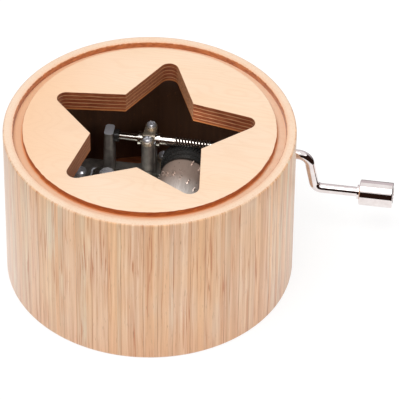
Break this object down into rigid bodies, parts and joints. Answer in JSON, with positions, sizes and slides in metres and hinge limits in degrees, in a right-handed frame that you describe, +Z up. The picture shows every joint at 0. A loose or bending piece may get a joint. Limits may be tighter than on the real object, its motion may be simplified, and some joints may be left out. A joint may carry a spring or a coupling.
{
  "type": "hand cranked music box",
  "caption": "Round bamboo box with a star window over a hand-cranked movement: crank, worm, wheel, pinned cylinder and comb.",
  "frame": {"origin": "middle of the box's flat underside", "axes": "+X along the crank shaft towards the knob, +Y towards the side that the shaft lies on, +Z up through the lid"},
  "size_m": [0.099, 0.075, 0.0453],
  "materials": {
    "bamboo_tube": "satin clear coat on vertical bamboo strips",
    "ply_floor": "sanded ply",
    "ply_lid": "sanded pale ply with browned cut edges",
    "cast_metal": "dark grey die casting",
    "screw_steel": "bright plated",
    "strap_steel": "plated strip",
    "comb_steel": "ground spring steel",
    "lead_weight": "dull grey lead",
    "black_plastic": "moulded, slightly glossy",
    "shaft_steel": "nickel plated",
    "crank_chrome": "polished plating",
    "drum_metal": "warm grey, finely brushed"
  },
  "bodies": {
    "box": {"body_tube": "bamboo_tube", "floor_disc": "ply_floor", "lid": "ply_lid", "chassis": "cast_metal", "movement_screws": "screw_steel", "shaft_end_bush": "black_plastic", "bearing_strap": "strap_steel", "strap_washers": "strap_steel", "strap_screws": "screw_steel", "comb": "comb_steel", "comb_weights": "lead_weight", "comb_screws": "screw_steel", "rear_bearing_plate": "strap_steel", "rear_plate_screws": "screw_steel"},
    "crank": {"worm_shaft": "shaft_steel", "thrust_collars": "shaft_steel", "crank_wire": "crank_chrome", "knob_stop_ring": "crank_chrome"},
    "knob": {"knob": "crank_chrome"},
    "drum": {"drum_cylinder": "drum_metal", "drum_end_cap": "cast_metal", "worm_wheel": "black_plastic", "drum_arbor": "shaft_steel"}
  },
  "joints": [
    {"name": "crank_turn", "type": "hinge", "parent": "box", "child": "crank", "pos_m": [0, 0.022, 0.02277], "axis": [1, 0, 0], "continuous": true},
    {"name": "knob_spin", "type": "hinge", "parent": "crank", "child": "knob", "pos_m": [0.055, 0.022, 0.01207], "axis": [1, 0, 0], "continuous": true},
    {"name": "drum_turn", "type": "hinge", "parent": "box", "child": "drum", "pos_m": [0.0066, 0, 0.01487], "axis": [0, 1, 0], "continuous": true}
  ],
  "couplings": [
    {"joint": "drum_turn", "follows": "crank_turn", "ratio": -0.055556}
  ]
}
